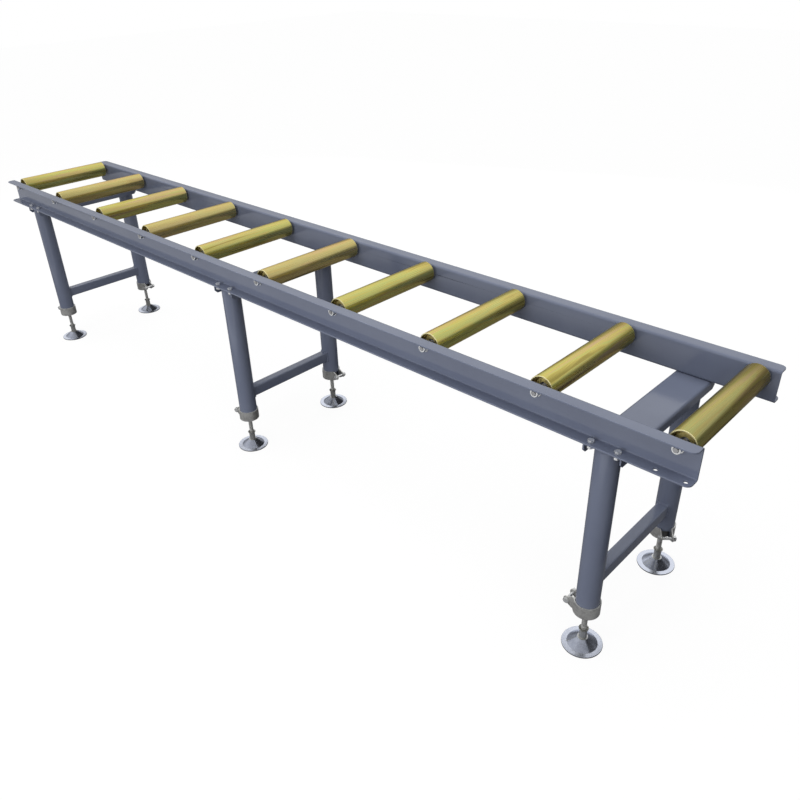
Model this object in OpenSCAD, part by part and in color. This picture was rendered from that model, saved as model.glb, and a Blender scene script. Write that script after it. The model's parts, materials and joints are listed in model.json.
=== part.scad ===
// Free-standing gravity roller conveyor: two pressed channel rails with their flanges
// turned outwards, plated rollers on through axles, and bolted leg frames whose
// clamped telescopic legs end in screw feet.
// X runs along the bed, Y across it, Z up. The origin is on the floor under the middle.

/* [Bed] */
// Length of the rails
bed_l = 3000; // [2400:50:3600]
// Clear width between the two rail webs
bed_w = 376; // [330:2:560]
// Height of the roller tops above the floor
table_h = 675; // [660:5:800]

/* [Rails] */
// Height of a rail
rail_h = 80; // [76:1:110]
// Width of a rail flange, from the inner face of the web
flange_w = 35; // [33:1:50]
// Thickness of the rail sheet
rail_t = 4; // [3:0.5:5]
// Inside radius of the bends
bend_r = 3; // [2:0.5:5]
// Radius on the outer corners of the flanges, in plan
flange_corner_r = 14; // [6:1:18]

/* [Rollers] */
// Number of rollers
roller_count = 10; // [7:1:10]
// Distance from a rail end to the nearest axle
roller_inset = 46.5; // [36:0.5:70]
// Outside diameter of a roller tube
roller_d = 60; // [58:1:70]
// Wall of a roller tube
roller_wall = 3; // [2:0.5:3.5]
// Gap between a roller end and the rail web
roller_side_gap = 11; // [6:0.5:16]
// Height of the roller tops above the rails
roller_rise = 9.5; // [4:0.5:14]

/* [Roller ends] */
// Outside diameter of a bearing
bearing_od = 35; // [32:1:37]
// Width of a bearing
bearing_w = 11; // [9:1:13]
// Radial thickness of a bearing ring
ring_t = 3; // [2:0.5:3.5]
// Thickness of a bearing shield
shield_t = 1; // [0.6:0.1:1.5]
// Depth of a bearing inside the end of its tube
bearing_recess = 10; // [6:0.5:16]
// Sheet thickness of a pressed end cap
cap_t = 2.5; // [2:0.5:3]

/* [Axles] */
// Diameter of an axle between the rails
axle_d = 15; // [14:1:16]
// Diameter of the threaded axle ends
axle_end_d = 12; // [10:1:13]
// Width across the flats of an axle nut
axle_nut_af = 19; // [17:1:22]
// Height of an axle nut
axle_nut_h = 10; // [8:1:12]
// Outside diameter of an axle washer
axle_washer_d = 24; // [23:1:30]
// Thickness of an axle washer
axle_washer_t = 2.5; // [1.5:0.5:3]
// Thread left standing out of a nut
thread_stub = 2; // [1:0.5:4]

/* [Leg frames] */
// Number of leg frames
frame_count = 3; // [2:1:3]
// Distance from a rail end to the nearest leg frame
frame_inset = 189; // [160:1:400]
// Width of a cross channel
channel_w = 90; // [84:1:110]
// Height of a cross channel
channel_h = 26; // [20:1:40]
// Thickness of the cross channel sheet
channel_t = 4; // [3:0.5:5]
// Set-back of the channel ends from the rail edges
channel_setback = 5; // [2:0.5:10]
// Cut off the lower corners of the channel ends
channel_corner = 9; // [4:1:14]
// Outside diameter of a leg tube
leg_d = 57; // [50:0.5:60]
// Wall of a leg tube
leg_wall = 3; // [2:0.5:4]
// Height of the lower end of a leg tube above the floor
leg_end_h = 112; // [104:1:140]
// Width of the rectangular brace between two legs
brace_w = 30; // [20:1:40]
// Height of the brace
brace_h = 35; // [25:1:50]
// Wall of the brace
brace_wall = 2.5; // [2:0.5:4]
// Inside radius of the brace's corners
brace_bend_r = 1.5; // [1:0.5:3]
// Height of the brace above the lower ends of the legs
brace_lift = 74; // [45:1:180]

/* [Frame bolts] */
// Diameter of a frame bolt
bolt_d = 8; // [6:1:8]
// Width across the flats of its head and nut
bolt_af = 13; // [10:1:13]
// Height of its head
bolt_head_h = 5.5; // [4:0.5:7]
// Height of its nut
bolt_nut_h = 6.5; // [5:0.5:8]
// Distance between the two bolts of a frame on one rail
bolt_pitch = 62; // [60:1:66]
// Distance from the bolt line to the edge of the flange
bolt_edge = 13; // [11:0.5:14]
// Distance from a rail end to the first spare bolt hole
spare_hole_inset = 14; // [10:1:24]
// Play of a bolt in its hole, over the diameter
bolt_play = 1; // [0.5:0.1:1.5]

/* [Leg clamps] */
// Height of a clamp band
clamp_h = 34; // [26:1:44]
// Thickness of a clamp band
clamp_t = 3.5; // [2.5:0.5:5]
// Clear gap between the two ears of a clamp
clamp_gap = 26; // [18:1:32]
// Distance from the leg axis to the clamp screw
clamp_reach = 46; // [44:1:56]
// Radius of the rounded end of an ear
ear_r = 9; // [8:0.5:12]
// Radius where an ear bends out of the band
ear_bend_r = 6; // [3:0.5:9]
// How far a clamp hangs below its leg tube
clamp_drop = 2; // [1:0.5:6]
// Directions that the near clamps point in, seen from above
near_clamp_turns = [180, 180, 180]; // [-180:5:180]
// Directions that the far clamps point in, seen from above
far_clamp_turns = [0, 0, -50]; // [-180:5:180]
// Width of the notch in the end of a leg tube, between the ears
notch_w = 22; // [12:1:26]
// Height of the notch
notch_h = 24; // [12:1:30]

/* [Telescopic legs] */
// Radial play between a leg tube and its inner tube
slide_play = 0.5; // [0.35:0.05:0.8]
// Wall of an inner tube
inner_wall = 3; // [2:0.5:4]
// Length of an inner tube
inner_l = 355; // [300:5:380]
// Height of an inner tube's end above the end of its leg tube
inner_lift = 2; // [1:0.5:6]
// Height of the threaded plug in the end of an inner tube
plug_h = 22; // [16:1:30]

/* [Feet] */
// Diameter of a foot spindle
spindle_d = 14; // [12:1:16]
// Length of a foot spindle
spindle_l = 178; // [165:1:220]
// Diameter of a foot plate
pad_d = 100; // [80:1:120]
// Height of the cone of a foot plate
pad_h = 23; // [18:1:28]
// Width of the flat rim of a foot plate
pad_rim_w = 12.5; // [8:0.5:16]
// Sheet thickness of a foot plate
pad_t = 3.5; // [2.5:0.5:4]
// Diameter of the small flat top of a foot plate
pad_top_d = 26; // [25:1:32]
// Outside diameter of the neck that holds the spindle
neck_d = 19; // [18:0.5:22]
// Length of the neck
neck_l = 29; // [20:1:34]
// Diameter of the flared collar on the neck
collar_d = 25; // [23:0.5:28]
// Height of the flared collar
collar_h = 6; // [4:0.5:8]
// Thickness of the collar's lip
lip_t = 1.5; // [1:0.5:2]

/* [Fits] */
// Radial play of a thread or of a shaft in its hole
thread_play = 0.08; // [0.04:0.01:0.1]
// Radial gap between a bearing shield and the inner ring
shield_gap = 0.35; // [0.3:0.05:0.6]
// Radial gap between a clamp band and its leg tube
clamp_play = 0.4; // [0.2:0.1:0.8]
// Radial gap of a pressed-in ring or plug in its seat
seat_play = 0.02; // [0.02:0.01:0.1]
// Gap under the end of a spindle
spindle_seat = 0.3; // [0.2:0.1:0.5]
// Small chamfer on turned ends and nuts
edge_c = 1; // [0.5:0.1:1.2]

/* [Hidden] */
$fn = 64;
over = 1;

rail_top = table_h - roller_rise;
rail_z = rail_top - rail_h;
web_y = bed_w / 2;
web_out_y = web_y + rail_t;
edge_y = web_y + flange_w;
bolt_y = edge_y - bolt_edge;

axle_z = table_h - roller_d / 2;
roller_pitch = (bed_l - 2 * roller_inset) / (roller_count - 1);
roller_l = bed_w - 2 * roller_side_gap;
tube_bore_r = roller_d / 2 - roller_wall;
bearing_far_y = roller_l / 2 - bearing_recess;
bearing_near_y = bearing_far_y - bearing_w;

frame_pitch = (bed_l - 2 * frame_inset) / (frame_count - 1);
channel_top = rail_z;
channel_l = 2 * (edge_y - channel_setback);
leg_y = web_y;
leg_top = channel_top - channel_t;
leg_bore_r = leg_d / 2 - leg_wall;
brace_z = leg_end_h + brace_lift;

inner_r = leg_bore_r - slide_play;
inner_z = leg_end_h + inner_lift;
clamp_z = leg_end_h - clamp_drop;
clamp_in_r = leg_d / 2 + clamp_play;
clamp_out_r = clamp_in_r + clamp_t;
ear_y = clamp_gap / 2;

spindle_z = pad_h + spindle_seat;
neck_top = pad_h + neck_l;

rows = [["near", -1, near_clamp_turns], ["far", 1, far_clamp_turns]];

function two_digits(k) = k < 10 ? str("0", k) : str(k);
function roller_x(k) = (k - (roller_count + 1) / 2) * roller_pitch;
function frame_x(i) = (i - (frame_count + 1) / 2) * frame_pitch;

// Turns a shape drawn along Z to lie along Y
module along_y() {
    rotate([-90, 0, 0]) children();
}

// The same shape on both rails, handed to the far side and mirrored to the near one
module both_sides() {
    children();
    mirror([0, 1, 0]) children();
}

module at_each_roller() {
    for (k = [1:roller_count]) translate([roller_x(k), 0, axle_z]) children();
}

// One leg axis, standing on the floor
module at_leg(i, row) {
    translate([frame_x(i), row[1] * leg_y, 0]) children();
}

// Clamps are drawn pointing along +X, with their screws put in from the near side
module at_each_clamp() {
    for (i = [1:frame_count]) for (row = rows)
        at_leg(i, row) translate([0, 0, clamp_z + clamp_h / 2]) rotate(row[2][i - 1])
            mirror([0, row[1] < 0 ? 1 : 0, 0]) children();
}

// The two bolts of a leg frame on the far rail
module at_frame_bolts(i) {
    for (side = [-1, 1])
        translate([frame_x(i) + side * bolt_pitch / 2, bolt_y, channel_top]) children();
}

// Rectangle whose two corners at x = 0 are rounded
module bent_rect(w, h, r) {
    translate([r, 0]) square([w - r, h]);
    translate([0, r]) square([w, h - 2 * r]);
    for (y = [r, h - r]) translate([r, y]) circle(r);
}

// Section of a pressed channel of width h, open towards +x
module channel_section(w, h, t) {
    difference() {
        bent_rect(w, h, bend_r + t);
        translate([t, t]) bent_rect(w, h - 2 * t, bend_r);
    }
}

// Chamfered solid of revolution, to trim the corners of a hexagon
module chamfered_disc(r, h) {
    rotate_extrude()
        polygon([[0, 0], [r - edge_c, 0], [r, edge_c], [r, h - edge_c], [r - edge_c, h], [0, h]]);
}

module hexagon(af, h) {
    intersection() {
        cylinder(h = h, d = af / cos(30), $fn = 6);
        chamfered_disc(af / 2 + edge_c, h);
    }
}

module hex_nut(af, h, d) {
    difference() {
        hexagon(af, h);
        translate([0, 0, -over]) cylinder(h = h + 2 * over, r = d / 2 + thread_play);
    }
}

// Hexagon head below z = 0, shank up through the grip and the nut
module hex_bolt(af, head_h, d, l) {
    translate([0, 0, -head_h]) hexagon(af, head_h);
    rotate_extrude()
        polygon([[0, 0], [d / 2, 0], [d / 2, l - edge_c], [d / 2 - edge_c, l], [0, l]]);
}

// Rounds one outer corner of the flanges, in plan
module flange_corner_cut() {
    translate([-flange_corner_r, -flange_corner_r, -over]) difference() {
        cube([flange_corner_r + over, flange_corner_r + over, rail_h + 2 * over]);
        cylinder(h = rail_h + 2 * over, r = flange_corner_r);
    }
}

module rail_bolt_hole() {
    translate([0, 0, -over]) cylinder(h = rail_t + bend_r + over, d = bolt_d + bolt_play);
}

// The far rail: web towards the rollers, both flanges outwards
module rail() {
    color("slategray") difference() {
        translate([-bed_l / 2, web_y, rail_z])
            rotate([90, 0, 90]) linear_extrude(bed_l) channel_section(flange_w, rail_h, rail_t);
        for (end = [0, 1]) mirror([end, 0, 0]) {
            translate([bed_l / 2, edge_y, rail_z]) flange_corner_cut();
            for (x = [spare_hole_inset, spare_hole_inset + bolt_pitch])
                translate([bed_l / 2 - x, bolt_y, rail_z]) rail_bolt_hole();
        }
        at_each_roller() along_y() translate([0, 0, web_y - over])
            cylinder(h = rail_t + 2 * over, r = axle_end_d / 2 + thread_play);
        for (i = [1:frame_count]) at_frame_bolts(i) rail_bolt_hole();
    }
}

module near_rail() {
    mirror([0, 1, 0]) rail();
}

module far_rail() {
    rail();
}

// Shouldered axles that seat between the webs, with threaded ends outside them
module roller_axles() {
    end_y = web_out_y + axle_washer_t + axle_nut_h + thread_stub;
    end_r = axle_end_d / 2;
    color("silver") at_each_roller() along_y() rotate_extrude() polygon([
        [0, -end_y], [end_r - edge_c, -end_y], [end_r, edge_c - end_y], [end_r, -web_y],
        [axle_d / 2, -web_y], [axle_d / 2, web_y],
        [end_r, web_y], [end_r, end_y - edge_c], [end_r - edge_c, end_y], [0, end_y]
    ]);
}

module axle_washers() {
    color("gainsboro") both_sides() at_each_roller() along_y()
        translate([0, 0, web_out_y]) difference() {
            cylinder(h = axle_washer_t, d = axle_washer_d);
            translate([0, 0, -over])
                cylinder(h = axle_washer_t + 2 * over, r = axle_end_d / 2 + thread_play);
        }
}

module axle_nuts() {
    color("gainsboro") both_sides() at_each_roller() along_y()
        translate([0, 0, web_out_y + axle_washer_t]) hex_nut(axle_nut_af, axle_nut_h, axle_end_d);
}

// Inner rings pressed on the axles
module bearing_inner_rings() {
    color("lightgray") both_sides() at_each_roller() along_y()
        translate([0, 0, bearing_near_y]) difference() {
            cylinder(h = bearing_w, r = axle_d / 2 + ring_t);
            translate([0, 0, -over]) cylinder(h = bearing_w + 2 * over, d = axle_d);
        }
}

// Plated tube with a small chamfer on both rims
module roller_tube(k) {
    r = roller_d / 2;
    c = edge_c / 2;
    color("darkkhaki") translate([roller_x(k), 0, axle_z]) along_y() rotate_extrude() polygon([
        [tube_bore_r, c - roller_l / 2], [tube_bore_r + c, -roller_l / 2], [r - c, -roller_l / 2],
        [r, c - roller_l / 2], [r, roller_l / 2 - c], [r - c, roller_l / 2],
        [tube_bore_r + c, roller_l / 2], [tube_bore_r, roller_l / 2 - c]
    ]);
}

// Pressed cup that carries the bearing: rim in the tube, web, and a hub round the bearing
module end_cap() {
    hub_r = bearing_od / 2 + seat_play;
    rim_in_r = tube_bore_r - cap_t;
    rotate_extrude() polygon([
        [hub_r, bearing_near_y], [tube_bore_r, bearing_near_y], [tube_bore_r, bearing_far_y],
        [rim_in_r, bearing_far_y], [rim_in_r, bearing_near_y + cap_t],
        [hub_r + cap_t, bearing_near_y + cap_t], [hub_r + cap_t, bearing_far_y], [hub_r, bearing_far_y]
    ]);
}

// Outer ring with its two shields, which stop short of the inner ring
module bearing_outer_ring() {
    out_r = bearing_od / 2;
    shield_r = axle_d / 2 + ring_t + shield_gap;
    rotate_extrude() polygon([
        [out_r, bearing_near_y], [out_r, bearing_far_y], [shield_r, bearing_far_y],
        [shield_r, bearing_far_y - shield_t], [out_r - ring_t, bearing_far_y - shield_t],
        [out_r - ring_t, bearing_near_y + shield_t], [shield_r, bearing_near_y + shield_t],
        [shield_r, bearing_near_y]
    ]);
}

module roller_bearings(k) {
    both_sides() translate([roller_x(k), 0, axle_z]) along_y() {
        color("dimgray") end_cap();
        color("silver") bearing_outer_ring();
    }
}

// Side view of a channel end: the lower corners are cut off
module channel_side_view() {
    half = channel_l / 2;
    polygon([
        [-half, 0], [-half, channel_corner - channel_h], [channel_corner - half, -channel_h],
        [half - channel_corner, -channel_h], [half, channel_corner - channel_h], [half, 0]
    ]);
}

// Inverted channel across the bed, under the lower flanges of both rails
module cross_channel(i) {
    color("slategray") difference() {
        translate([frame_x(i), 0, channel_top]) intersection() {
            translate([-channel_w / 2, channel_l / 2, 0]) rotate([90, 90, 0])
                linear_extrude(channel_l) channel_section(channel_h, channel_w, channel_t);
            translate([-channel_w / 2 - over, 0, 0]) rotate([90, 0, 90])
                linear_extrude(channel_w + 2 * over) channel_side_view();
        }
        both_sides() at_frame_bolts(i) translate([0, 0, -channel_t - bend_r])
            cylinder(h = channel_t + bend_r + over, d = bolt_d + bolt_play);
    }
}

// Rectangle with four round corners, centred
module rounded_rect(w, h, r) {
    square([w - 2 * r, h], center = true);
    square([w, h - 2 * r], center = true);
    for (x = [-1, 1]) for (y = [-1, 1]) translate([x * (w / 2 - r), y * (h / 2 - r)]) circle(r);
}

// Rectangular tube between two legs, coped round them
module leg_brace(i) {
    in_w = brace_w - 2 * brace_wall;
    in_h = brace_h - 2 * brace_wall;
    color("slategray") translate([frame_x(i), 0, brace_z + brace_h / 2]) difference() {
        translate([0, leg_y, 0]) rotate([90, 0, 0]) linear_extrude(2 * leg_y) difference() {
            rounded_rect(brace_w, brace_h, brace_bend_r + brace_wall);
            rounded_rect(in_w, in_h, brace_bend_r);
        }
        both_sides() translate([0, leg_y, -brace_h]) cylinder(h = 2 * brace_h, d = leg_d);
    }
}

// Leg tube under its channel, notched at the foot where the clamp closes it
module leg_tube(i, row) {
    color("slategray") at_leg(i, row) difference() {
        translate([0, 0, leg_end_h]) cylinder(h = leg_top - leg_end_h, d = leg_d);
        translate([0, 0, leg_end_h - over]) cylinder(h = leg_top - leg_end_h + 2 * over, r = leg_bore_r);
        rotate(row[2][i - 1]) translate([0, -notch_w / 2, leg_end_h - over])
            cube([leg_d, notch_w, notch_h + over]);
    }
}

module frame_bolts() {
    grip = rail_t + channel_t + bolt_nut_h + thread_stub;
    color("gainsboro") both_sides() for (i = [1:frame_count])
        at_frame_bolts(i) translate([0, 0, rail_t]) rotate([180, 0, 0])
            hex_bolt(bolt_af, bolt_head_h, bolt_d, grip);
}

module frame_nuts() {
    color("gainsboro") both_sides() for (i = [1:frame_count])
        at_frame_bolts(i) translate([0, 0, -channel_t - bolt_nut_h])
            hex_nut(bolt_af, bolt_nut_h, bolt_d);
}

// Plan of a clamp strap: an open band whose ends turn out into two parallel ears
module clamp_plan() {
    ear_out_y = ear_y + clamp_t;
    bend_y = ear_out_y + ear_bend_r;
    bend_x = sqrt(pow(clamp_out_r + ear_bend_r, 2) - pow(bend_y, 2));
    touch = clamp_out_r / (clamp_out_r + ear_bend_r);
    root_x = sqrt(pow(clamp_in_r, 2) - pow(ear_y, 2));
    difference() {
        circle(clamp_out_r);
        circle(clamp_in_r);
        translate([0, -ear_y]) square([clamp_out_r + over, clamp_gap]);
    }
    for (side = [0, 1]) mirror([0, side]) {
        translate([root_x, ear_y]) square([clamp_reach + ear_r - root_x, clamp_t]);
        difference() {
            polygon([[root_x, ear_out_y], [bend_x, ear_out_y], [bend_x, bend_y], touch * [bend_x, bend_y]]);
            translate([bend_x, bend_y]) circle(ear_bend_r);
        }
    }
}

// Side view of a clamp: full height round the leg, tapering to a round ear end
module clamp_side_view() {
    half = clamp_h / 2;
    translate([-clamp_out_r - over, -half]) square([2 * clamp_out_r + over, clamp_h]);
    polygon([[clamp_out_r, -half], [clamp_reach, -ear_r], [clamp_reach, ear_r], [clamp_out_r, half]]);
    translate([clamp_reach, 0]) circle(ear_r);
}

module leg_clamps() {
    side_w = 2 * clamp_out_r + 2 * over;
    color("darkgray") at_each_clamp() difference() {
        intersection() {
            translate([0, 0, -clamp_h / 2]) linear_extrude(clamp_h) clamp_plan();
            translate([0, side_w / 2, 0]) rotate([90, 0, 0]) linear_extrude(side_w) clamp_side_view();
        }
        translate([clamp_reach, -side_w / 2, 0]) along_y() cylinder(h = side_w, d = bolt_d + bolt_play);
    }
}

// Screw through both ears of a clamp, with its nut
module clamp_screws() {
    ear_out_y = ear_y + clamp_t;
    grip = 2 * ear_out_y;
    color("gainsboro") at_each_clamp() translate([clamp_reach, -ear_out_y, 0]) along_y() {
        hex_bolt(bolt_af, bolt_head_h, bolt_d, grip + bolt_nut_h + thread_stub);
        translate([0, 0, grip]) hex_nut(bolt_af, bolt_nut_h, bolt_d);
    }
}

// Inner tube of a leg, and the threaded plug welded in its lower end
module inner_tube(i, row) {
    bore_r = inner_r - inner_wall;
    at_leg(i, row) translate([0, 0, inner_z]) {
        color("dimgray") difference() {
            cylinder(h = inner_l, r = inner_r);
            translate([0, 0, -over]) cylinder(h = inner_l + 2 * over, r = bore_r);
        }
        color("gray") difference() {
            cylinder(h = plug_h, r = bore_r - seat_play);
            translate([0, 0, -over]) cylinder(h = plug_h + 2 * over, r = spindle_d / 2 + thread_play);
        }
    }
}

module foot_spindle(i, row) {
    r = spindle_d / 2;
    color("silver") at_leg(i, row) translate([0, 0, spindle_z]) rotate_extrude() polygon([
        [0, 0], [r - edge_c, 0], [r, edge_c], [r, spindle_l - edge_c], [r - edge_c, spindle_l], [0, spindle_l]
    ]);
}

// Pressed cone with a flat rim, and the flared neck that holds the spindle
module foot_plate(i, row) {
    rim_r = pad_d / 2 - pad_rim_w;
    top_r = pad_top_d / 2;
    neck_r = neck_d / 2;
    hole_r = spindle_d / 2 + thread_play;
    color("lightsteelblue") at_leg(i, row) rotate_extrude() polygon([
        [0, pad_h - pad_t], [top_r - pad_t / 2, pad_h - pad_t], [rim_r - pad_t / 2, 0],
        [pad_d / 2, 0], [pad_d / 2, pad_t], [rim_r, pad_t], [top_r, pad_h], [neck_r, pad_h],
        [neck_r, neck_top - collar_h], [collar_d / 2, neck_top - lip_t],
        [collar_d / 2, neck_top], [collar_d / 2 - lip_t, neck_top],
        [hole_r, neck_top - collar_h + lip_t], [hole_r, pad_h], [0, pad_h]
    ]);
}

near_rail();
far_rail();
roller_axles();
axle_washers();
axle_nuts();
bearing_inner_rings();
for (k = [1:roller_count]) {
    roller_tube(k);
    roller_bearings(k);
}
for (i = [1:frame_count]) {
    cross_channel(i);
    leg_brace(i);
    for (row = rows) {
        leg_tube(i, row);
        inner_tube(i, row);
        foot_spindle(i, row);
        foot_plate(i, row);
    }
}
frame_bolts();
frame_nuts();
leg_clamps();
clamp_screws();
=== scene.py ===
"""A free-standing gravity roller conveyor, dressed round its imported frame: painted channel
rails, yellow-plated rollers, bolted leg frames, and clamped telescopic legs on screw feet."""

import json
import math

import bmesh
import bpy
from mathutils import Matrix, Vector

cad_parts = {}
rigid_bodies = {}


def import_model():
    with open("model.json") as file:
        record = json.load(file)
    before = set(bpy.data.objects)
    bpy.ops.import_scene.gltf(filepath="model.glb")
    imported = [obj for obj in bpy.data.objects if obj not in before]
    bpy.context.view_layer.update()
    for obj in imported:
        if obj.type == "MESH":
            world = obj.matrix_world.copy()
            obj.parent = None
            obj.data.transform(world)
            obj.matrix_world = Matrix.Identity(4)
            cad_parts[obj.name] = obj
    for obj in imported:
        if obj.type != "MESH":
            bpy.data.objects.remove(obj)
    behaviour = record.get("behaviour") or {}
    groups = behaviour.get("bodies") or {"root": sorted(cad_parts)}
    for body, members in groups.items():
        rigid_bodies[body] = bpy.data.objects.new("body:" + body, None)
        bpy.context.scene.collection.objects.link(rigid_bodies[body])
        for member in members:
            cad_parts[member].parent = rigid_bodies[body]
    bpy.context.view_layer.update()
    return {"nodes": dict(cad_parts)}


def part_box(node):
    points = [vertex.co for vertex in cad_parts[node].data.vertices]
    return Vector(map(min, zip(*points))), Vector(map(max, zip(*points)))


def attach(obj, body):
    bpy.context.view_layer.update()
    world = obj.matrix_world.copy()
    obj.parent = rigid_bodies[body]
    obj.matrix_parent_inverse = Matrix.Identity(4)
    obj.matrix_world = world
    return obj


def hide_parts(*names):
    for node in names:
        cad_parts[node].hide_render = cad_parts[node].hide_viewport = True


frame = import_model()
nodes = frame["nodes"]


# The photographer's place: standing off the right-hand end, looking down along the bed.
# The lens is a short standard one, so the near foot is about three times as large as the
# far one.
stand_at = (1.9046, -1.4122, 1.4800)
heading, dip, roll = 134.18, 30.92, -1.655
focal_px, photo_px, sensor_mm = 763.35, 800, 36

lens = bpy.data.cameras.new("photograph_lens")
lens.sensor_width = sensor_mm
lens.lens = sensor_mm * focal_px / photo_px
lens.clip_start, lens.clip_end = 0.05, 200.0
camera = bpy.data.objects.new("photograph_camera", lens)
camera.matrix_world = (
    Matrix.Translation(stand_at)
    @ Matrix.Rotation(math.radians(heading - 90), 4, "Z")
    @ Matrix.Rotation(math.radians(90 - dip), 4, "X")
    @ Matrix.Rotation(math.radians(roll), 4, "Z")
)
bpy.context.scene.collection.objects.link(camera)
bpy.context.scene.camera = camera
bpy.context.scene.view_settings.view_transform = "Standard"


# The studio: a pale sweep of floor, a broad soft light overhead, a tall one in front, which the
# near rail keeps off the far one, and two low ones that fill the left and the back.
mm = 0.001


class Val:
    """A socket that sums like a number: each operator adds the Math node it stands for."""

    def __init__(self, tree, socket):
        self.tree, self.socket = tree, socket

    def sum(self, operation, *terms):
        inputs = dict(enumerate(terms or (self,)))
        return self.tree.node("ShaderNodeMath", {"operation": operation}, inputs)[0]

    def __add__(self, other): return self.sum("ADD", self, other)
    def __radd__(self, other): return self.sum("ADD", other, self)
    def __sub__(self, other): return self.sum("SUBTRACT", self, other)
    def __rsub__(self, other): return self.sum("SUBTRACT", other, self)
    def __mul__(self, other): return self.sum("MULTIPLY", self, other)
    def __rmul__(self, other): return self.sum("MULTIPLY", other, self)
    def __gt__(self, other): return self.sum("GREATER_THAN", self, other)
    def __abs__(self): return self.sum("ABSOLUTE")
    def most(self, other): return self.sum("MAXIMUM", self, other)

    def between(self, low, high):
        """0 below low, 1 above high, and a soft step from one to the other."""
        return self.tree.node("ShaderNodeMapRange", {"interpolation_type": "SMOOTHSTEP"},
                              {0: self, 1: low, 2: high, 3: 0.0, 4: 1.0})[0]


class Made:
    """The outputs of a node that has just been added."""

    def __init__(self, tree, node):
        self.tree, self.made = tree, node

    def __getitem__(self, key):
        return Val(self.tree, self.made.outputs[key])


class Tree:
    """A node tree being written. One method adds a node of any kind."""

    def __init__(self, tree):
        self.tree = tree
        tree.nodes.clear()

    def node(self, kind, settings=None, inputs=None):
        node = self.tree.nodes.new(kind)
        for name, value in (settings or {}).items():
            if name == "stops":
                ramp = node.color_ramp.elements
                while len(ramp) < len(value):
                    ramp.new(0.5)
                for stop, (place, colour) in zip(ramp, value):
                    stop.position, stop.color = place, (*colour, 1)
            else:
                setattr(node, name, value)
        for key, value in (inputs or {}).items():
            if isinstance(value, Val):
                self.tree.links.new(value.socket, node.inputs[key])
            else:
                node.inputs[key].default_value = value
        return Made(self, node)

    def place(self, stretch=(1, 1, 1)):
        """Object coordinates, stretched."""
        spot = self.node("ShaderNodeTexCoord")["Object"]
        return self.node("ShaderNodeMapping", {}, {0: spot, 3: stretch})[0]

    def axes(self, spot):
        split = self.node("ShaderNodeSeparateXYZ", {}, {0: spot})
        return split[0], split[1], split[2]

    def noise(self, spot, scale, detail=2.0, rough=0.5, distort=0.0):
        return self.node("ShaderNodeTexNoise", {}, {
            "Vector": spot, "Scale": scale, "Detail": detail, "Roughness": rough,
            "Distortion": distort})[0]

    def mix(self, share, a, b):
        """Colour a where share is 0, colour b where it is 1."""
        a, b = [c if isinstance(c, Val) else (*c, 1) for c in (a, b)]
        return self.node("ShaderNodeMix", {"data_type": "RGBA"}, {0: share, 6: a, 7: b})[2]

    def bump(self, height, depth, strength):
        """A normal that rises and falls by depth with the height."""
        return self.node("ShaderNodeBump", {}, {
            "Strength": strength, "Distance": depth, "Height": height})[0]


class Finish(Tree):
    """A surface finish: one Principled shader, fed by what is written before surface()."""

    def __init__(self, name):
        self.material = bpy.data.materials.new(name)
        self.material.use_nodes = True
        super().__init__(self.material.node_tree)

    def surface(self, **sockets):
        named = {key.replace("_", " "): value for key, value in sockets.items()}
        if isinstance(named.get("Base Color"), tuple):
            named["Base Color"] = (*named["Base Color"], 1)
        shader = self.node("ShaderNodeBsdfPrincipled", {}, named)[0]
        self.node("ShaderNodeOutputMaterial", {}, {0: shader})
        return self.material


# The floor, seen as all but pure white, so that it keeps a trace of the stand's shadow. What
# metal mirrors of it is nearly black, but for a strip in front of the near rail, which is
# bright and dims further out.
floor_reach, floor_drop = 14.0, 0.4 * mm
floor_grey, floor_lit, seen_white = (0.15, 0.15, 0.155), (0.92, 0.92, 0.92), 0.92
floor_mirrored, strip_mirrored = 0.01, 0.90
strip_near, strip_full, strip_fades, strip_far, far_share = -0.84, -0.98, -1.04, -1.3, 0.35

floor_mesh = bpy.data.meshes.new("floor_sweep")
floor_mesh.from_pydata([(x * floor_reach, y * floor_reach, -floor_drop) for x, y in
                        ((-1, -1), (1, -1), (1, 1), (-1, 1))], [], [(0, 1, 2, 3)])
floor = bpy.data.objects.new("floor_sweep", floor_mesh)
bpy.context.scene.collection.objects.link(floor)
sweep = Finish("floor_sweep_paper")
ray = sweep.node("ShaderNodeLightPath")
seen, mirrored = ray["Is Camera Ray"], ray["Is Glossy Ray"].most(ray["Is Transmission Ray"])
paper_colour = sweep.mix(seen, floor_grey, floor_lit)
paper = sweep.node("ShaderNodeBsdfDiffuse", {}, {"Color": paper_colour})[0]
white = sweep.node("ShaderNodeEmission", {}, {"Color": (1, 1, 1, 1), "Strength": 1.0})[0]
beside = sweep.axes(sweep.place())[1]
strip = (1.0 - beside.between(strip_full, strip_near)) * (
    far_share + beside.between(strip_far, strip_fades) * (1.0 - far_share))
whiteness = seen * seen_white + mirrored * (
    floor_mirrored + strip * (strip_mirrored - floor_mirrored))
shown = sweep.node("ShaderNodeMixShader", {}, {0: whiteness, 1: paper, 2: white})[0]
sweep.node("ShaderNodeOutputMaterial", {}, {0: shown})
floor_mesh.materials.append(sweep.material)

# What metal mirrors: a ceiling that is bright beyond the stand and dimmer over its near side
# and to the right; then walls in shade, the left one lighter.
daylight, ceiling_level, near_share = 0.23, 1.0, 0.42
left_wall, right_wall, right_loss = 0.35, 0.10, 0.30

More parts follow.
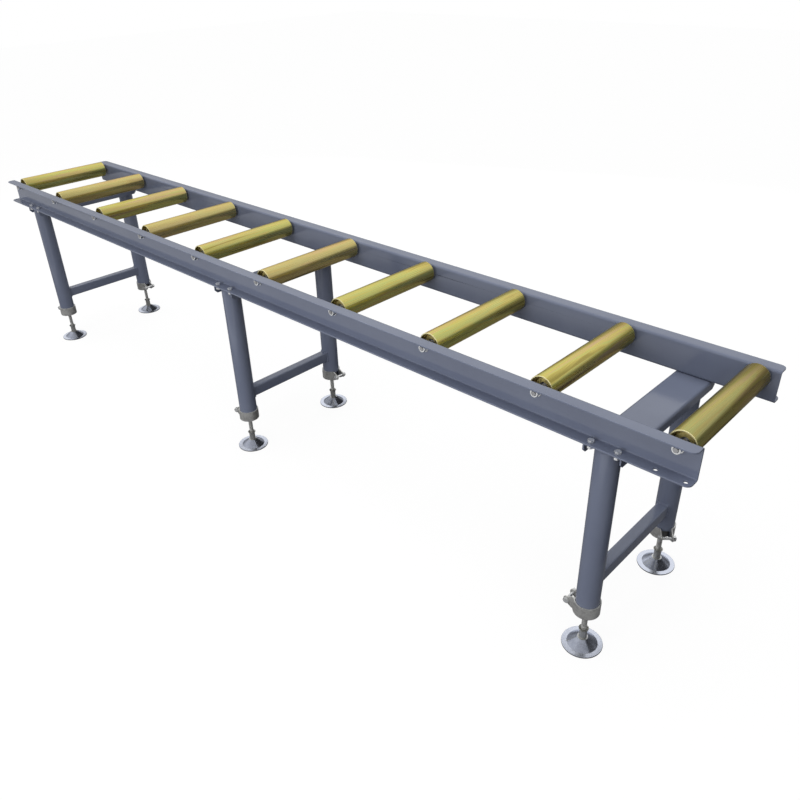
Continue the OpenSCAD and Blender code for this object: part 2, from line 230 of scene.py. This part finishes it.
world = bpy.data.worlds.new("studio_room")
world.use_nodes = True
bpy.context.scene.world = world
room = Tree(world.node_tree)
across, along, up = room.axes(room.node("ShaderNodeTexCoord")["Generated"])
over_bed = 1.0 - across.between(-0.5, 0.8) * right_loss
from_front = near_share + along.between(-0.15, 0.35) * (1.0 - near_share)
ceiling = up.between(0.15, 0.45) * over_bed * from_front
wall = left_wall - (left_wall - right_wall) * across.between(-0.5, -0.1)
room_seen = wall + ceiling * (ceiling_level - wall)
ray = room.node("ShaderNodeLightPath")
seen, mirrored = ray["Is Camera Ray"], ray["Is Glossy Ray"].most(ray["Is Transmission Ray"])
level = seen + (1.0 - seen) * ((1.0 - mirrored) * daylight + mirrored * room_seen)
glow = room.node("ShaderNodeBackground", {}, {"Color": (1, 1, 1, 1), "Strength": level})[0]
room.node("ShaderNodeOutputWorld", {}, {0: glow})


# Black flags lie low, one past the right-hand feet and one over the side of each other foot.
# Only mirrored rays see them: a painted dark reflection on the side of each foot, with no
# shadow. Each is given by two corners and its height.
flag_painted_dark, flag_z, flag_front, flag_back = (0.01, 0.01, 0.01), 0.09, 0.008, 0.29
flags = [((1.40, -0.20), (1.72, 0.66), 0.22)]
for i, flag_left, flag_right in ((1, -0.13, 0.10), (2, -0.06, 0.20)):
    for side in ("near", "far"):
        low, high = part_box("foot_plate_%d_%s" % (i, side))
        foot_at = (low + high) / 2
        flags.append(((foot_at.x + flag_left, foot_at.y + flag_front),
                      (foot_at.x + flag_right, foot_at.y + flag_back), flag_z))

corners = []
for (left, front), (right, back), z in flags:
    corners += [(left, front, z), (right, front, z), (right, back, z), (left, back, z)]
flag_mesh = bpy.data.meshes.new("low_flag")
flag_mesh.from_pydata(corners, [], [tuple(range(4 * k, 4 * k + 4)) for k in range(len(flags))])
flag = bpy.data.objects.new("low_flag", flag_mesh)
flag.visible_camera = flag.visible_diffuse = flag.visible_shadow = False
bpy.context.scene.collection.objects.link(flag)
flag_mesh.materials.append(Finish("low_flag_cloth").surface(Base_Color=flag_painted_dark, Roughness=1.0))


def lamp(name, kind, strength, place, aim, **settings):
    """A soft lamp that lights the stand and isn't mirrored in it."""
    light = bpy.data.lights.new(name, kind)
    light.energy = strength
    for setting, value in settings.items():
        setattr(light, setting, value)
    holder = bpy.data.objects.new(name, light)
    holder.location, holder.visible_glossy = place, False
    holder.rotation_euler = (Vector(aim) - Vector(place)).to_track_quat("-Z", "Y").to_euler()
    bpy.context.scene.collection.objects.link(holder)


lamp("front_box", "AREA", 66, (0.6, -3.2, 1.2), (0.1, 0, 0.5),
     shape="RECTANGLE", size=2.6, size_y=1.9)
lamp("left_box", "AREA", 26, (-3.6, -0.8, 1.0), (-0.4, 0, 0.4),
     shape="RECTANGLE", size=1.6, size_y=1.2)
lamp("back_box", "AREA", 48, (-1.4, 3.3, 1.0), (0, 0, 0.5),
     shape="RECTANGLE", size=2.6, size_y=1.2)
lamp("overhead_box", "SUN", 2.3, (0, 0, 3), (-0.15, 0.25, 0), angle=math.radians(70))


# The rails: steel sheet folded to a channel, powder coated grey-blue after punching.
# The coat is semi-gloss with a faint orange peel, and the cut edges under it are broken, not
# sharp.
sheet_edge_r, edge_steps, edge_turn = 0.9 * mm, 2, math.radians(28)
same_point, same_flat = 0.002 * mm, math.radians(0.6)
coat_colour, coat_pale = (0.136, 0.156, 0.222), (0.164, 0.186, 0.254)
peel_depth = 0.12 * mm

coat = Finish("coat_grey_blue")
spot = coat.place()
clouds = coat.noise(spot, 5.0, 3.0)
peel = coat.noise(spot, 620.0, 1.0)
dust = coat.noise(coat.place((1, 1, 0.35)), 60.0, 5.0, 0.65)
grey_blue = coat.surface(
    Base_Color=coat.mix(clouds.between(0.35, 0.7) * 0.6 + dust * 0.25, coat_colour, coat_pale),
    Roughness=0.10 + clouds * 0.06 + dust.between(0.5, 0.75) * 0.06,
    Normal=coat.bump(peel * 0.7 + dust * 0.3, peel_depth, 0.5),
)


def eased(node, edge_r, finish, slot, body):
    """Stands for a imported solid: the same form, whole flats, and its edges broken to edge_r."""
    mesh = nodes[node].data.copy()
    for layer in list(mesh.attributes):
        if layer.name == "custom_normal":
            mesh.attributes.remove(layer)
    work = bmesh.new()
    work.from_mesh(mesh)
    bmesh.ops.remove_doubles(work, verts=work.verts, dist=same_point)
    bmesh.ops.dissolve_limit(work, angle_limit=same_flat, verts=work.verts, edges=work.edges)
    work.to_mesh(mesh)
    work.free()
    mesh.materials.clear()
    mesh.materials.append(finish)
    mesh.shade_smooth()
    rough = bpy.data.objects.new(node + "_rough", mesh)
    bpy.context.scene.collection.objects.link(rough)
    ease = rough.modifiers.new("ease", "BEVEL")
    ease.width, ease.segments = edge_r, edge_steps
    ease.limit_method, ease.angle_limit = "ANGLE", edge_turn
    ease.use_clamp_overlap, ease.harden_normals = False, True
    return settled(rough, node + "_finished", body, slot, node)


def settled(rough, name, body, slot, *stands_for):
    """The plain mesh of a worked object, riding on its body."""
    bpy.context.view_layer.update()
    worked = rough.evaluated_get(bpy.context.evaluated_depsgraph_get())
    mesh = bpy.data.meshes.new_from_object(worked)
    mesh.name = name
    bpy.data.objects.remove(rough)
    piece = bpy.data.objects.new(name, mesh)
    bpy.context.scene.collection.objects.link(piece)
    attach(piece, body)
    if stands_for:
        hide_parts(*stands_for)
    return piece


for rail in ("near_rail", "far_rail"):
    eased(rail, sheet_edge_r, grey_blue, "rail_paint", "stand")


# The leg frames: a pressed cross channel, two round tubes welded under its ends, and a
# rectangular tube between them, all coated after welding. The beads are laid by hand, so
# their ripples are not quite even.
bead_step, bead_w = 2.4 * mm, 3.1 * mm
tube_edge_r, brace_edge_r = 0.6 * mm, 0.4 * mm
leg_frames = (1, 2, 3)
legs = [(i, side) for i in leg_frames for side in ("near", "far")]

for i in leg_frames:
    eased("cross_channel_%d" % i, sheet_edge_r, grey_blue, "frame_paint", "stand")
    eased("leg_brace_%d" % i, brace_edge_r, grey_blue, "frame_paint", "stand")
for i, side in legs:
    eased("leg_tube_%d_%s" % (i, side), tube_edge_r, grey_blue, "frame_paint", "stand")


class Recipe(Tree):
    """A Geometry Nodes tree with named inputs, run on an object to make a plain mesh."""

    kinds = {float: "NodeSocketFloat", tuple: "NodeSocketVector"}

    def __init__(self, name, **sizes):
        super().__init__(bpy.data.node_groups.new(name, "GeometryNodeTree"))
        face = self.tree.interface
        face.new_socket("Geometry", in_out="INPUT", socket_type="NodeSocketGeometry")
        face.new_socket("Geometry", in_out="OUTPUT", socket_type="NodeSocketGeometry")
        self.ids = {}
        for size, value in sizes.items():
            socket = face.new_socket(size, in_out="INPUT", socket_type=self.kinds[type(value)])
            socket.default_value = value
            self.ids[size] = socket.identifier
        self.ids["Finish"] = face.new_socket(
            "Finish", in_out="INPUT", socket_type="NodeSocketMaterial").identifier
        self.given = self.node("NodeGroupInput")

    def end(self, shape):
        """Instances made real, given their finish, and handed on."""
        real = self.node("GeometryNodeRealizeInstances", {}, {0: shape})[0]
        smooth = self.node("GeometryNodeSetShadeSmooth", {}, {0: real})[0]
        done = self.node("GeometryNodeSetMaterial", {}, {
            0: smooth, "Material": self.given["Finish"]})[0]
        self.node("NodeGroupOutput", {}, {0: done})

    def run(self, name, start, body, slot, stands_for=(), **values):
        rough = bpy.data.objects.new(name + "_start", start)
        bpy.context.scene.collection.objects.link(rough)
        made = rough.modifiers.new("recipe", "NODES")
        made.node_group = self.tree
        for size, value in values.items():
            made[self.ids[size]] = value
        return settled(rough, name, body, slot, *stands_for)


def line_mesh(name, runs):
    """Edges through each run of points, closed where a run ends at its start."""
    points, edges = [], []
    for run in runs:
        first = len(points)
        closed = run[0] == run[-1]
        points += run[:-1] if closed else run
        count = len(points) - first
        edges += [(first + k, first + k + 1) for k in range(count - 1)]
        if closed:
            edges.append((first + count - 1, first))
    mesh = bpy.data.meshes.new(name)
    mesh.from_pydata(points, edges, [])
    return mesh


welds = Recipe("weld_bead", Step=bead_step, Width=bead_w)
seam = welds.node("GeometryNodeMeshToCurve", {}, {0: welds.given["Geometry"]})[0]
drops = welds.node("GeometryNodeCurveToPoints", {"mode": "LENGTH"}, {
    0: seam, "Length": welds.given["Step"]})
drop = welds.node("GeometryNodeMeshUVSphere", {}, {"Segments": 8, "Rings": 6, "Radius": 1.0})[0]
uneven = welds.node("FunctionNodeRandomValue", {"data_type": "FLOAT"}, {
    2: 0.85, 3: 1.15, "Seed": 7})[1]
drop_w = welds.given["Width"] * uneven
size = welds.node("ShaderNodeCombineXYZ", {}, {
    0: drop_w, 1: drop_w, 2: welds.given["Step"] * 0.9})[0]
laid = welds.node("GeometryNodeInstanceOnPoints", {}, {
    "Points": drops["Points"], "Instance": drop, "Rotation": drops["Rotation"], "Scale": size})[0]
welds.end(laid)

seams = []
for i, side in legs:
    low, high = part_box("leg_tube_%d_%s" % (i, side))
    centre, r = (low + high) / 2, (high.x - low.x) / 2
    ring = [(centre.x + r * math.cos(a), centre.y + r * math.sin(a), high.z)
            for a in (math.radians(10 * k) for k in range(37))]
    ring[-1] = ring[0]
    seams.append(ring)
    low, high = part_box("leg_brace_%d" % i)
    inward, half_w = -1 if side == "far" else 1, (high.x - low.x) / 2
    across = [centre.x + half_w * (k / 6 - 1) for k in range(13)]
    on_leg = [(x, centre.y + inward * math.sqrt(r * r - (x - centre.x) ** 2)) for x in across]
    loop = [(x, y, high.z) for x, y in on_leg] + [(x, y, low.z) for x, y in reversed(on_leg)]
    seams.append(loop + [loop[0]])
welds.run("leg_welds", line_mesh("leg_welds_start", seams), "stand", "frame_paint",
          Finish=grey_blue)


# The fasteners: cold-formed steel, zinc plated bright with a faint blue cast. The plating
# greys in the hollows, and the threads stand a little proud of the shanks.
zinc_colour, zinc_grey = (0.90, 0.91, 0.92), (0.66, 0.67, 0.68)
fastener_edge_r = 0.35 * mm
bolt_r, bolt_pitch, bolt_tooth, bolt_sink = 4 * mm, 1.25 * mm, 0.5 * mm, 0.3 * mm
bolt_half_span, head_half_w, tip_to_thread = 31 * mm, 6.5 * mm, 3.2 * mm

bright = Finish("zinc_bright")
spot = bright.place()
stain = bright.noise(spot, 170.0, 4.0, 0.6)
grain = bright.noise(spot, 1500.0, 2.0)
zinc_bright = bright.surface(
    Base_Color=bright.mix(stain.between(0.45, 0.75) * 0.7, zinc_colour, zinc_grey),
    Metallic=0.75,
    Roughness=0.16 + stain * 0.14,
    Normal=bright.bump(grain, 0.03 * mm, 0.3),
)
for node in ("axle_nuts", "axle_washers", "frame_bolts", "frame_nuts", "clamp_screws"):
    eased(node, fastener_edge_r, zinc_bright, "fastener_zinc", "stand")

threads = Recipe("screw_thread", Radius=bolt_r, Pitch=bolt_pitch, Turns=2.0, Depth=bolt_tooth)
helix = threads.node("GeometryNodeCurveSpiral", {}, {
    "Resolution": 28, "Rotations": threads.given["Turns"],
    "Start Radius": threads.given["Radius"], "End Radius": threads.given["Radius"],
    "Height": threads.given["Turns"] * threads.given["Pitch"]})[0]
upright = threads.node("GeometryNodeSetCurveNormal", {"mode": "Z_UP"}, {0: helix})[0]
tooth = threads.node("GeometryNodeCurvePrimitiveCircle", {"mode": "RADIUS"}, {
    "Resolution": 4, "Radius": threads.given["Depth"]})[0]
ridge = threads.node("GeometryNodeCurveToMesh", {}, {
    0: upright, "Profile Curve": tooth, "Fill Caps": True})[0]
turn = threads.node("GeometryNodeInputNamedAttribute", {"data_type": "FLOAT_VECTOR"}, {
    "Name": "turn"})[0]
cut = threads.node("GeometryNodeInstanceOnPoints", {}, {
    "Points": threads.given["Geometry"], "Instance": ridge, "Rotation": turn})[0]
threads.end(cut)


def starts(name, places):
    """A point for each thread, with the turn that takes +Z along its shank."""
    mesh = bpy.data.meshes.new(name)
    mesh.from_pydata([spot for spot, along in places], [], [])
    turn = mesh.attributes.new("turn", "FLOAT_VECTOR", "POINT")
    for k, (spot, along) in enumerate(places):
        turn.data[k].vector = Vector(along).to_track_quat("Z", "Y").to_euler()
    return mesh


low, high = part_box("frame_bolts")
below = []
for i in leg_frames:
    left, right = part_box("leg_brace_%d" % i)
    for side in (-1, 1):
        x = (left.x + right.x) / 2 + side * bolt_half_span
        for y in (low.y + head_half_w, high.y - head_half_w):
            below.append(((x, y, low.z + tip_to_thread), (0, 0, -1)))
threads.run("frame_bolt_threads", starts("frame_bolt_starts", below), "stand", "fastener_zinc",
            Radius=bolt_r - bolt_sink, Pitch=bolt_pitch, Turns=2.0, Depth=bolt_tooth,
            Finish=zinc_bright)


# The axles: turned steel, shouldered between the webs and threaded outside them, each held
# by a washer and a nut.
axle_r, axle_pitch, axle_tooth, axle_sink = 6 * mm, 1.75 * mm, 0.6 * mm, 0.45 * mm
end_to_thread = 3.4 * mm
steel_colour, steel_tarnished = (0.56, 0.56, 0.57), (0.34, 0.33, 0.32)
rollers = ["%02d" % k for k in range(1, 11)]

turned = Finish("steel_turned")
rings = turned.noise(turned.place((0.05, 1, 0.05)), 2600.0, 2.0)
tarnish = turned.noise(turned.place(), 40.0, 4.0, 0.6)
steel_turned = turned.surface(
    Base_Color=turned.mix(tarnish.between(0.4, 0.8) * 0.6, steel_colour, steel_tarnished),
    Metallic=1.0,
    Roughness=0.25 + tarnish * 0.2,
    Normal=turned.bump(rings, 0.04 * mm, 0.5),
)


def dress(node, finish):
    """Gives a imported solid, whose shape is right, its finish."""
    nodes[node].data.materials.clear()
    nodes[node].data.materials.append(finish)


dress("roller_axles", steel_turned)
dress("bearing_inner_rings", steel_turned)

low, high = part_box("roller_axles")
ends = []
for k in rollers:
    a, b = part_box("roller_tube_" + k)
    centre = (a + b) / 2
    for end_y, along in ((low.y + end_to_thread, -1), (high.y - end_to_thread, 1)):
        ends.append(((centre.x, end_y, centre.z), (0, along, 0)))
threads.run("axle_threads", starts("axle_starts", ends), "stand", "axle_steel",
            Radius=axle_r - axle_sink, Pitch=axle_pitch, Turns=1.5, Depth=axle_tooth,
            Finish=steel_turned)


# The rollers: drawn tube with turned rims, zinc plated and yellow chromated. The film is
# thicker in lengthwise streaks, from pale green-yellow through straw to olive and a blush of
# brown, and the loads that have passed leave short scuffs. Every other one on the left half is
# from a browner batch. The last on the right is painted darker all over, a painted shade, and
# the rims are painted pale, a painted highlight.
tube_r, tube_l, wall_t, rim_r = 30 * mm, 354 * mm, 3 * mm, 0.8 * mm
straw, pale_green = (0.68, 0.58, 0.15), (0.58, 0.61, 0.19)
rosy, olive = (0.66, 0.48, 0.24), (0.40, 0.33, 0.07)
last_roller_shade, scraped_pale, tube_rim_highlight = (0.26, 0.24, 0.10), (0.75, 0.70, 0.40), (0.95, 0.86, 0.46)
roller_x = [(a.x + b.x) / 2 for a, b in (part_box("roller_tube_" + k) for k in rollers)]
roller_pitch, browner_x = roller_x[1] - roller_x[0], roller_x[1]
shade_from_x = roller_x[-1] - roller_pitch / 2

film = Finish("chromate_yellow")
run, beside, _ = film.axes(film.place())
every_other = ((run - browner_x) * (math.pi / roller_pitch)).sum("COSINE")
browner = every_other.between(0.0, 0.6) * (1.0 - run.between(0.2, 0.5))
streak = film.noise(film.place((1, 0.05, 1)), 55.0, 3.0, 0.6, 0.5)
fine_streak = film.noise(film.place((1, 0.02, 1)), 380.0, 2.0)
cloud = film.noise(film.place((1, 0.25, 1)), 16.0, 2.0)
scuff = film.noise(film.place((0.5, 1.6, 0.5)), 110.0, 4.0, 0.7)
stops = [(0.30, olive), (0.42, straw), (0.50, pale_green), (0.57, straw), (0.68, rosy)]
bands = film.node("ShaderNodeValToRGB", {"stops": stops}, {0: streak})[0]
blush = cloud.between(0.50, 0.70) * (0.35 - run.between(0.0, 0.8) * 0.15) + browner * 0.45
body_colour = film.mix(blush, bands, rosy)
body_colour = film.mix(fine_streak.between(0.5, 0.8) * 0.3, body_colour, olive)
# Painted shade: the last roller on the right is darkened halfway towards a dark olive.
body_colour = film.mix((run > shade_from_x) * 0.5, body_colour, last_roller_shade)
scraped = scuff.between(0.68, 0.76) * 0.2
# Painted highlight: the tube ends are painted pale yellow and made less metallic.
rim = abs(beside) > tube_l / 2 - rim_r
plated_yellow = film.surface(
    Base_Color=film.mix(rim, film.mix(scraped, body_colour, scraped_pale), tube_rim_highlight),
    Metallic=0.95 - rim * 0.6,
    Roughness=0.24 + fine_streak * 0.08 + scraped * 0.4,
    Specular_Tint=(0.85, 0.66, 0.30, 1),
    Coat_Weight=0.5,
    Coat_Roughness=0.12,
    Normal=film.bump(fine_streak, 0.01 * mm, 0.25),
)

rolled = Recipe("drawn_tube", Outside=tube_r, Wall=wall_t, Length=tube_l, Rim=rim_r,
                Place=(0.0, 0.0, 0.0))
middle = rolled.given["Outside"] - rolled.given["Wall"] * 0.5
hoop = rolled.node("GeometryNodeCurvePrimitiveCircle", {"mode": "RADIUS"}, {
    "Resolution": 96, "Radius": middle})[0]
wall = rolled.node("GeometryNodeCurvePrimitiveQuadrilateral", {"mode": "RECTANGLE"}, {
    0: rolled.given["Wall"], 1: rolled.given["Length"]})[0]
rounded = rolled.node("GeometryNodeFilletCurve", {"mode": "POLY"}, {
    0: wall, "Count": 3, "Radius": rolled.given["Rim"]})[0]
standing = rolled.node("GeometryNodeSetCurveNormal", {"mode": "Z_UP"}, {0: hoop})[0]
tube = rolled.node("GeometryNodeCurveToMesh", {}, {0: standing, "Profile Curve": rounded})[0]
rolled.end(rolled.node("GeometryNodeTransform", {}, {
    0: tube, "Translation": rolled.given["Place"], "Rotation": (math.radians(90), 0, 0)})[0])

for k in rollers:
    node = "roller_tube_" + k
    low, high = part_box(node)
    rolled.run(node + "_plated", bpy.data.meshes.new("start"), "roller_" + k, "roller_plating",
               (node,), Outside=(high.x - low.x) / 2, Length=high.y - low.y,
               Place=(low + high) / 2, Finish=plated_yellow)


# The roller ends: a pressed steel cup in the tube carries a shielded bearing. They took the
# yellow film with the tube, and stay dull and oily in its shade.
cup_colour, cup_dark = (0.80, 0.66, 0.24), (0.52, 0.42, 0.15)

cup = Finish("steel_pressed")
oil = cup.noise(cup.place(), 120.0, 3.0)
steel_pressed = cup.surface(
    Base_Color=cup.mix(oil.between(0.35, 0.65), cup_colour, cup_dark),
    Metallic=0.2,
    Roughness=0.35 + oil * 0.2,
    Normal=cup.bump(oil, 0.1 * mm, 0.3),
)
for k in rollers:
    dress("roller_bearings_" + k, steel_pressed)


# The leg clamps: a steel strap bent round the leg, its two ears drawn together by a screw.
# Barrel plated, so they are greyer and grainier than the fasteners.
strap_edge_r = 0.8 * mm
strap_colour, strap_dark = (0.80, 0.80, 0.78), (0.56, 0.56, 0.55)

strap = Finish("zinc_barrel")
spot = strap.place()
patch = strap.noise(spot, 70.0, 5.0, 0.65)
pit = strap.noise(spot, 480.0, 2.0)
zinc_barrel = strap.surface(
    Base_Color=strap.mix(patch.between(0.4, 0.7), strap_colour, strap_dark),
    Metallic=0.85,
    Roughness=0.34 + patch * 0.2,
    Normal=strap.bump(pit, 0.25 * mm, 0.35),
)
eased("leg_clamps", strap_edge_r, zinc_barrel, "clamp_steel", "stand")


# The inner tubes: drawn tube left with its mill skin, dark with oil, and a threaded plug
# welded in the lower end.
skin_dark, skin_pale = (0.13, 0.13, 0.135), (0.24, 0.235, 0.23)
inner_edge_r = 0.4 * mm

skin = Finish("steel_mill_skin")
draw = skin.noise(skin.place((1, 1, 0.1)), 300.0, 3.0)
mill_skin = skin.surface(
    Base_Color=skin.mix(draw, skin_dark, skin_pale),
    Metallic=1.0,
    Roughness=0.3 + draw * 0.2,
    Normal=skin.bump(draw, 0.05 * mm, 0.4),
)
for i, side in legs:
    leg = "%d_%s" % (i, side)
    eased("inner_tube_" + leg, inner_edge_r, mill_skin, "inner_tube_steel", "telescope_" + leg)


# The foot spindles: rod with a rolled thread, barrel plated with the clamps, plain where it
# turns in the neck of its foot.
spindle_r, spindle_pitch, tooth_h, plain_l = 7 * mm, 4 * mm, 1.5 * mm, 34 * mm
chamfer, run_out, thread_short = 1 * mm, 1.5 * mm, 4 * mm
core_r = spindle_r - tooth_h

for i, side in legs:
    leg = "%d_%s" % (i, side)
    node = "foot_spindle_" + leg
    low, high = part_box(node)
    centre, length = (low + high) / 2, high.z - low.z
    core = bmesh.new()
    profile = [(0, 0), (spindle_r - chamfer, 0), (spindle_r, chamfer), (spindle_r, plain_l),
               (core_r, plain_l + run_out), (core_r, length - chamfer),
               (core_r - chamfer, length), (0, length)]
    edge = [core.verts.new((centre.x + r, centre.y, low.z + z)) for r, z in profile]
    for a, b in zip(edge, edge[1:]):
        core.edges.new((a, b))
    bmesh.ops.spin(core, geom=core.verts[:] + core.edges[:], cent=centre, axis=(0, 0, 1),
                   angle=math.tau, steps=48, use_merge=True)
    bmesh.ops.remove_doubles(core, verts=core.verts, dist=0.01 * mm)
    bmesh.ops.recalc_face_normals(core, faces=core.faces)
    rod = bpy.data.meshes.new(node + "_rod")
    core.to_mesh(rod)
    core.free()
    rod.shade_smooth()
    rod.set_sharp_from_angle(angle=math.radians(32))
    rod.materials.append(zinc_barrel)
    piece = bpy.data.objects.new(node + "_rod", rod)
    bpy.context.scene.collection.objects.link(piece)
    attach(piece, "spindle_" + leg)
    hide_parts(node)
    start = [((centre.x, centre.y, low.z + plain_l + run_out), (0, 0, 1))]
    threads.run(node + "_thread", starts(node + "_start", start), "spindle_" + leg,
                "spindle_steel", Radius=core_r, Pitch=spindle_pitch, Depth=tooth_h * 0.98,
                Turns=(length - plain_l - thread_short) / spindle_pitch, Finish=zinc_barrel)


# The foot plates: a pressed cone with a flat rim, and a drawn neck whose top is flared out
# round the spindle. Plated blue-bright. The flat rim is painted paler, a painted reflection, and
# its cut edge near black, a painted shade.
foot_blue, foot_dull, neck_grey = (0.60, 0.64, 0.76), (0.48, 0.52, 0.63), (0.64, 0.64, 0.61)
rim_painted_reflection, cut_edge_painted_shade = (0.70, 0.74, 0.85), (0.035, 0.04, 0.055)
cut_z, rim_z, cone_z, cone_top_z = 2.98 * mm, 3.6 * mm, 4.6 * mm, 23 * mm
foot_edge_r = 0.9 * mm

foot = Finish("zinc_blue")
spot = foot.place()
haze = foot.noise(spot, 55.0, 4.0, 0.6)
mark = foot.noise(spot, 700.0, 2.0)
height = foot.axes(spot)[2]
neck = height.between(cone_top_z - 1 * mm, cone_top_z + 0.5 * mm)
pressed = foot.mix(haze.between(0.35, 0.75), foot_blue, foot_dull)
# Painted reflection: the flat rim below rim_z is painted paler than the cone.
pressed = foot.mix(height.between(rim_z, cone_z), rim_painted_reflection, pressed)
# Painted shade: the cut edge below cut_z is painted near black.
pressed = foot.mix(height.between(cut_z - 0.28 * mm, cut_z), cut_edge_painted_shade, pressed)
zinc_blue = foot.surface(
    Base_Color=foot.mix(neck, pressed, neck_grey),
    Metallic=0.95,
    Roughness=0.17 + haze * 0.14 + neck * 0.1,
    Normal=foot.bump(mark, 0.05 * mm, 0.35),
)
for i, side in legs:
    leg = "%d_%s" % (i, side)
    eased("foot_plate_" + leg, foot_edge_r, zinc_blue, "foot_steel", "foot_" + leg)
